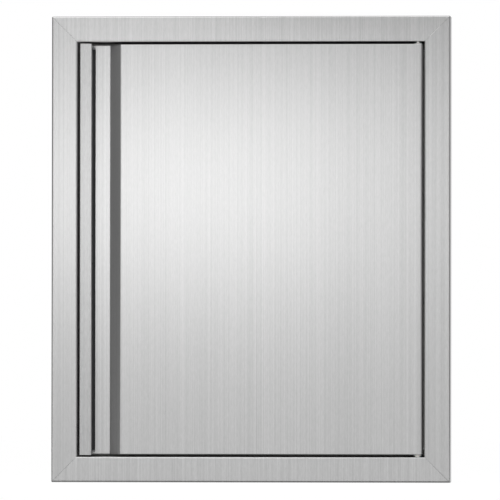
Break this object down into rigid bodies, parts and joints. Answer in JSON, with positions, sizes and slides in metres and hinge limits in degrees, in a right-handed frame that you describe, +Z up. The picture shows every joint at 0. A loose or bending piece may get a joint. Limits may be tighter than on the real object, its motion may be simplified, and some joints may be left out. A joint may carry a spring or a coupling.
{
  "type": "access door",
  "caption": "Flush stainless access door for an outdoor kitchen island: mitred drop-in frame, hollow hinged door with a full-height pull recess and a magnetic catch.",
  "frame": {"origin": "on the wall plane, at the middle of the bottom rail's rear hem", "axes": "+X right as seen from the front, +Y into the wall, +Z up; the front faces -Y"},
  "size_m": [0.4572, 0.063, 0.5334],
  "materials": {
    "frame_stainless": "vertical brushed grain",
    "door_stainless": "vertical brushed grain",
    "lip_stainless": "fine brushed",
    "liner_stainless": "mill finish",
    "plain_stainless": "mill finish",
    "bright_stainless": "turned",
    "zinc_steel": "zinc plated",
    "nylon": "moulded",
    "bumper_rubber": "matte",
    "catch_plastic": "moulded",
    "ferrite": "sintered"
  },
  "bodies": {
    "frame": {"frame_top_rail": "frame_stainless", "frame_bottom_rail": "frame_stainless", "frame_left_stile": "frame_stainless", "frame_right_stile": "frame_stainless", "frame_corner_plates": "plain_stainless", "upper_pivot_block": "plain_stainless", "lower_pivot_block": "plain_stainless", "upper_pivot_bolt": "bright_stainless", "upper_lock_washer": "bright_stainless", "lower_pivot_pin": "bright_stainless", "lower_thrust_washer": "nylon", "latch_stop_angle": "plain_stainless", "hinge_stop_angle": "plain_stainless", "upper_stop_angle": "plain_stainless", "lower_stop_angle": "plain_stainless", "stop_angle_rivets": "bright_stainless", "stop_bumpers": "bumper_rubber", "catch_housing": "catch_plastic", "catch_magnet": "ferrite", "catch_pole_plates": "zinc_steel", "catch_screws": "bright_stainless"},
    "door": {"door_skin": "door_stainless", "door_pull_lip": "lip_stainless", "door_liner": "liner_stainless", "door_upper_hinge_plate": "plain_stainless", "door_lower_hinge_plate": "plain_stainless", "door_upper_bush": "nylon", "door_lower_bush": "nylon", "strike_plate": "zinc_steel", "strike_rivets": "bright_stainless"}
  },
  "joints": [
    {"name": "door_hinge", "type": "hinge", "parent": "frame", "child": "door", "pos_m": [0.1913, -0.0198, 0.2607], "axis": [0, 0, 1], "range_deg": [0, 110]}
  ]
}
